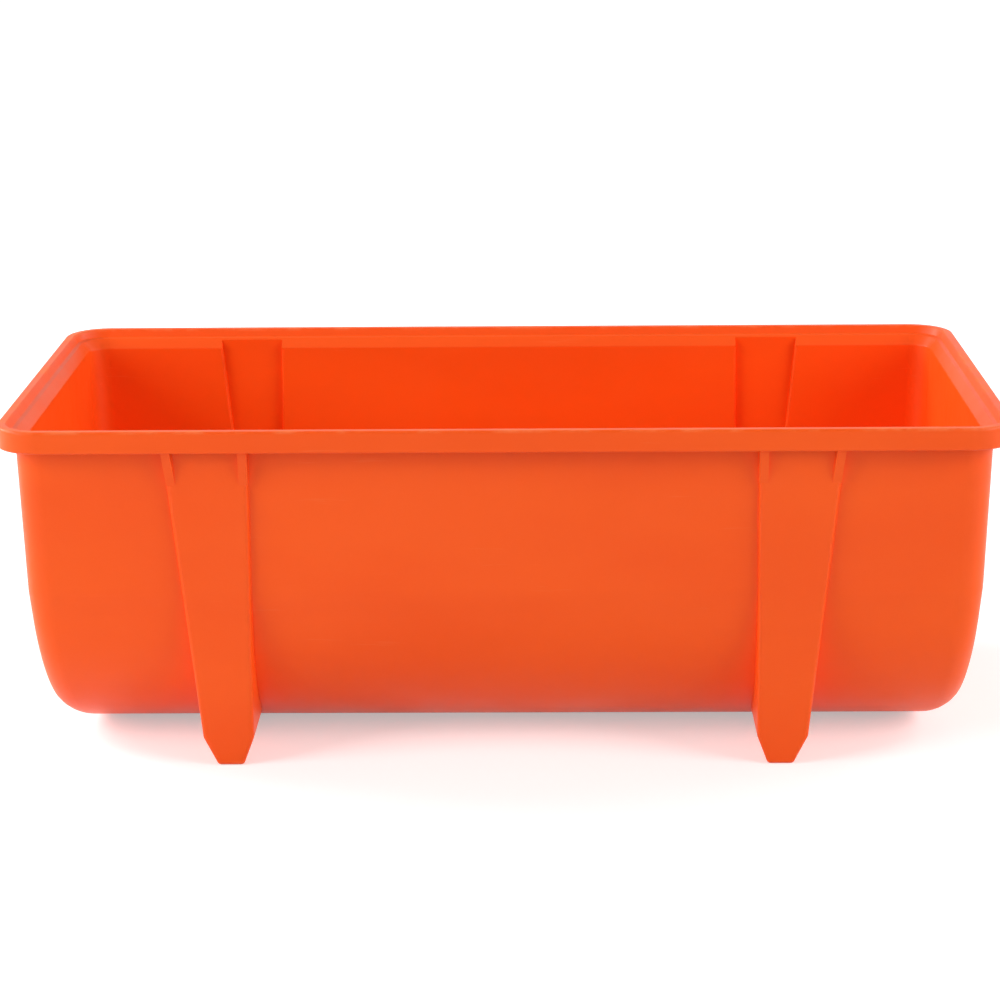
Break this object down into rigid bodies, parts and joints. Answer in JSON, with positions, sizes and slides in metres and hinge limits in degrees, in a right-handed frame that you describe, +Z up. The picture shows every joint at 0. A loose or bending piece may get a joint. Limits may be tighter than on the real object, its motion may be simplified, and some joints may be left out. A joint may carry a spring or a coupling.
{
  "type": "mortar mixing tub",
  "caption": "Trough-shaped plastic tub for mixing mortar, with a round bottom, a skirted rim and hollow tapered legs that keep it from rolling.",
  "frame": {"origin": "on the floor under the middle of the tub", "axes": "+X along the tub's length, +Y to its rear long side, +Z up"},
  "size_m": [0.6, 0.3, 0.211],
  "materials": {
    "orange_plastic": "satin"
  },
  "bodies": {
    "root": {"basin": "orange_plastic", "rim_lip": "orange_plastic", "rim_skirt": "orange_plastic", "leg_front_left": "orange_plastic", "leg_front_right": "orange_plastic", "leg_rear_left": "orange_plastic", "leg_rear_right": "orange_plastic", "gusset_front_left_inner": "orange_plastic", "gusset_front_left_outer": "orange_plastic", "gusset_front_right_inner": "orange_plastic", "gusset_front_right_outer": "orange_plastic", "gusset_rear_left_inner": "orange_plastic", "gusset_rear_left_outer": "orange_plastic", "gusset_rear_right_inner": "orange_plastic", "gusset_rear_right_outer": "orange_plastic"}
  },
  "joints": []
}
